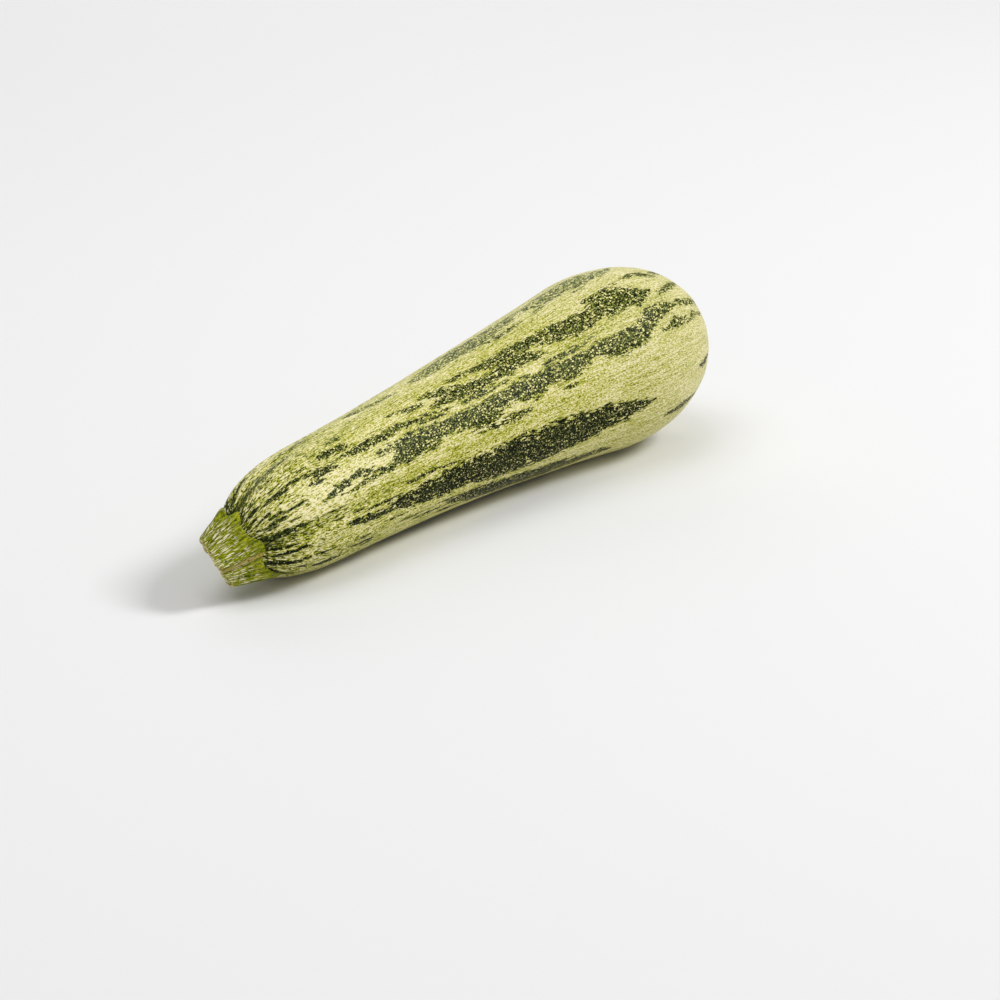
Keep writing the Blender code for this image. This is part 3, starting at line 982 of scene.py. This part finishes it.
def skin_finish():
    """Pale waxy skin with streaks, pin-prick specks and ragged dark green stripes."""
    skin = Finish("zucchini_skin")
    skin.place = skin.attribute("place", "Vector")
    neck = skin.attribute("neck")
    groove = skin.attribute("groove")
    specked = skin.attribute("specked")
    tone, grains = skin_tone(skin, neck, groove)
    specks, draw, all_specks = skin_specks(skin, neck, specked)
    base = skin.ramp(skin.plus(tone, specks, 0.14), (
        (0.02, (44, 54, 14)),
        (0.22, (98, 107, 4)),
        (0.42, (150, 155, 26)),
        (0.62, (193, 190, 88)),
        (0.80, (218, 211, 142)),
        (1.00, (240, 230, 190)),
    ))

    # the bulb is creamier towards its tip
    base = skin.mixed(skin.attribute("bloom"), base, (206, 199, 162))

    # cream dashes in rows along the neck, bright even where the skin is dark
    pale_dashes = skin.flecks(PALE_DASHES, 0.16, 0.54)[0]
    shown = skin.step(skin.plus(neck, groove, -0.45), 0.08, 0.70)
    shown = skin.times(pale_dashes, shown)
    base = skin.mixed(skin.times(shown, 0.88), base, (244, 235, 180))

    # painted sheen and shade: the stripes are lighter towards the top, where their specks are large,
    # and darker low on the near side
    mottle = skin.noise(STRIPE_MOTTLE, 3.0, 0.65)
    mottle = skin.plus(mottle, skin.plus(-1.0, specked), 0.35)
    stripe_colour = skin.ramp(mottle, (
        (0.36, (5, 9, 0)),
        (0.54, (28, 40, 6)),
        (0.70, (96, 108, 34)),
    ))
    speck_colour = skin.mixed(draw, (170, 174, 72), (250, 243, 164))
    stripe_colour = skin.mixed(skin.times(all_specks, 0.92), stripe_colour, speck_colour)
    colour = skin.mixed(stripe_share(skin, neck, grains), base, stripe_colour)

    height = skin.plus(skin.times(all_specks, 0.5), shown, 0.5)
    height = skin.plus(height, grains, 1.0)
    normal = skin.bump(height, 0.4, 0.00015)
    rough = skin.plus(0.40, grains, 0.2)
    return skin.end(Base_Color=colour, Roughness=rough, Normal=normal, Specular_IOR_Level=0.05)


def stalk_dashes(stalk, mid):
    """Whitish dashes and dots, thick in the middle of the stalk, few near its foot."""
    clusters = stalk.noise(STALK_CLUSTERS, 1.0)
    dashes = stalk.flecks(STALK_DASHES, 0.18, 0.52)[0]
    dots = stalk.flecks(STALK_DOTS, 0.08, 0.46, (2.3, 6.1, 4.7))[0]
    dashes = stalk.times(dashes, stalk.times(mid, stalk.step(clusters, 0.30, 0.46)))
    return stalk.maths("MAXIMUM", dashes, stalk.times(dots, stalk.plus(0.16, mid, 0.42)))


def stalk_finish():
    """Fibrous olive stalk with broken whitish dashes, a tan line and a dry edge."""
    stalk = Finish("zucchini_stalk")
    stalk.place = stalk.attribute("place", "Vector")
    along = stalk.attribute("along")
    fibre = stalk.noise(STALK_FIBRES, 3.0, 0.6)
    grains = stalk.noise(STALK_GRAINS, 2.0, 0.6)
    base = stalk.ramp(stalk.plus(fibre, stalk.plus(-0.5, grains), 0.6), (
        (0.30, (44, 56, 0)),
        (0.46, (118, 129, 0)),
        (0.66, (172, 174, 12)),
    ))
    base = stalk.mixed(stalk.times(stalk.attribute("ridge"), 0.35), base, (96, 112, 10))

    # darker gaps between the fibres, and the whitish dashes over them
    mid = stalk.step(along, 0.80, 0.50)
    gaps = stalk.flecks(STALK_GAPS, 0.10, 0.44, (5.2, 1.4, 8.3))[0]
    base = stalk.mixed(stalk.times(gaps, stalk.plus(0.15, mid, 0.45)), base, (56, 68, 4))
    pale = stalk_dashes(stalk, mid)
    colour = stalk.mixed(stalk.times(pale, 0.98), base, (254, 246, 196))

    # the tan line on the near ridge, edged with darker green as painted shadow along the ridge
    brown = stalk.plus(stalk.attribute("brown"), stalk.swing(TAN_WANDER, 2.0, 0.6), 1.4)
    ridge_shadow = stalk.step(brown, 0.12, 0.42, 0.0, 0.5)
    colour = stalk.mixed(ridge_shadow, colour, (96, 92, 12))
    tan = stalk.times(stalk.step(brown, 0.55, 0.80), stalk.step(grains, 0.36, 0.56))
    colour = stalk.mixed(stalk.times(tan, 0.7), colour, (196, 168, 96))

    # the chipped dry edge of the cut
    chips = stalk.noise(EDGE_CHIPS, 2.0, 0.6)
    dry = stalk.step(stalk.plus(along, stalk.plus(-0.5, chips), 0.24), 0.06, 0.01)
    chipped = stalk.step(chips, 0.36, 0.50)
    rim_colour = stalk.mixed(chipped, (106, 84, 34), (226, 214, 158))
    colour = stalk.mixed(stalk.times(dry, 0.85), colour, rim_colour)

    height = stalk.plus(stalk.times(pale, 0.8), fibre, 1.2)
    normal = stalk.bump(height, 0.7, 0.00035)
    rough = stalk.step(pale, 0.0, 1.0, 0.45, 0.62)
    return stalk.end(Base_Color=colour, Roughness=rough, Normal=normal, Specular_IOR_Level=0.06)


def dry_finish(name, pale, mid, dark, spokes, bundle_share):
    """Dry corky tissue with a ring of darker bundles, a hollow heart and a darker edge."""
    dry = Finish(name)
    space = dry.add("ShaderNodeTexCoord", {}, "Object")
    dry.place = dry.stretched(space, (1.0 / MM, 1.0 / MM))
    reach = dry.attribute("reach")
    turn = dry.attribute("turn")
    grain = dry.noise(DRY_GRAIN, 4.0, 0.65)
    uneven = dry.plus(-0.5, grain)
    bend = dry.swing(RAY_BEND, 1.0)
    rays = dry.maths("COSINE", dry.plus(dry.times(turn, spokes), bend, 5.0))
    tone = dry.plus(grain, dry.times(rays, reach), 0.05)
    colour = dry.ramp(tone, ((0.32, mid), (0.60, pale)))
    off_ring = dry.maths("ABSOLUTE", dry.plus(dry.plus(-0.66, reach), uneven, 0.12))
    bundles = dry.times(dry.step(off_ring, 0.13, 0.04), dry.step(rays, -0.1, 0.7))
    colour = dry.mixed(dry.times(bundles, bundle_share), colour, dark)
    edge = dry.plus(reach, uneven, 0.35)
    colour = dry.mixed(dry.step(edge, 0.84, 1.0), colour, dark)
    heart = dry.step(edge, 0.26, 0.08)
    colour = dry.mixed(dry.times(heart, 0.7), colour, dark)
    normal = dry.bump(dry.plus(grain, bundles, -0.5), 0.8, 0.0004)
    return dry.end(Base_Color=colour, Roughness=0.82, Normal=normal, Specular_IOR_Level=0.25)


def cut_finish():
    """Pale dry pith of the stalk's cut, with clear bundles."""
    colours = (204, 196, 146), (164, 148, 92), (116, 96, 44)
    return dry_finish("dry_cut", *colours, spokes=10.0, bundle_share=0.7)


def scar_finish():
    """Browner cork of the flower's scar, with faint bundles."""
    colours = (188, 172, 118), (132, 110, 60), (98, 90, 40)
    return dry_finish("dry_scar", *colours, spokes=7.0, bundle_share=0.35)


def floor_finish():
    """Plain pale floor."""
    floor = Finish("floor")
    return floor.end(Base_Color=(0.80, 0.80, 0.80, 1.0), Roughness=0.9, Specular_IOR_Level=0.1)


def show(data, material):
    """Object that shows a mesh with its material and rides on the fruit's body."""
    piece = bpy.data.objects.new(data.name, data)
    piece.data.materials.append(material)
    bpy.context.scene.collection.objects.link(piece)
    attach(piece, "root")
    return piece


def make_floor():
    """Wide floor that the fruit lies on."""
    data = bpy.data.meshes.new("floor")
    signs = ((-1, -1), (1, -1), (1, 1), (-1, 1))
    corners = [(x * FLOOR_REACH, y * FLOOR_REACH, 0.0) for x, y in signs]
    data.from_pydata(corners, [], [(0, 1, 2, 3)])
    data.materials.append(floor_finish())
    floor = bpy.data.objects.new("floor", data)
    bpy.context.scene.collection.objects.link(floor)


def make_camera(move):
    """Camera at the photograph's place and angle."""
    right, down = Vector(CAMERA_RIGHT), Vector(CAMERA_DOWN)
    forward = right.cross(down)
    turn = Matrix((right, -down, -forward)).transposed()
    camera = bpy.data.cameras.new("camera")
    camera.lens = CAMERA_LENS
    camera.sensor_width = SENSOR
    camera.clip_start, camera.clip_end = SEEN_BETWEEN
    holder = bpy.data.objects.new("camera", camera)
    eye = Vector((np.array(CAMERA_EYE) + move) * MM)
    holder.matrix_world = Matrix.Translation(eye) @ turn.to_4x4()
    bpy.context.scene.collection.objects.link(holder)
    bpy.context.scene.camera = holder


def make_light(name, place, side, power):
    """Soft square light that faces the fruit."""
    lamp = bpy.data.lights.new(name, "AREA")
    lamp.shape = "SQUARE"
    lamp.size = side
    lamp.energy = power
    holder = bpy.data.objects.new(name, lamp)
    holder.location = place
    facing = Vector(LIT_PLACE) - Vector(place)
    holder.rotation_mode = "QUATERNION"
    holder.rotation_quaternion = facing.to_track_quat("-Z", "Y")
    bpy.context.scene.collection.objects.link(holder)


def make_studio():
    """Soft lights and an even sky, with the colours shown ungraded."""
    for light in LIGHTS:
        make_light(*light)
    world = bpy.data.worlds.new("studio")
    world.use_nodes = True
    sky = world.node_tree.nodes["Background"]
    sky.inputs["Color"].default_value = (1.0, 1.0, 1.0, 1.0)
    sky.inputs["Strength"].default_value = WORLD_LIGHT
    bpy.context.scene.world = world
    bpy.context.scene.view_settings.view_transform = "Standard"


def frame_move():
    """Move from the fruit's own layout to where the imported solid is."""
    low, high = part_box("zucchini")
    middle = 0.5 * (np.array(low) + np.array(high)) / MM
    every = np.concatenate([skin_rings()[0].reshape(-1, 3), stalk_rim()])
    own = 0.5 * (every.min(axis=0) + every.max(axis=0))
    return np.array((middle[0] - own[0], middle[1] - own[1], low[2] / MM - REST_LEVEL))


def main():
    """Camera, the four pieces of the fruit, the floor and the light."""
    move = frame_move()
    make_camera(move)
    skin = show(make_skin(move), skin_finish())
    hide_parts("zucchini")
    stalk = make_stalk(move)
    stalk.set_sharp_from_angle(angle=SHARP_FROM)
    show(stalk, stalk_finish())
    show(make_cut(move), cut_finish())
    show(make_scar(move), scar_finish())
    make_floor()
    make_studio()


main()
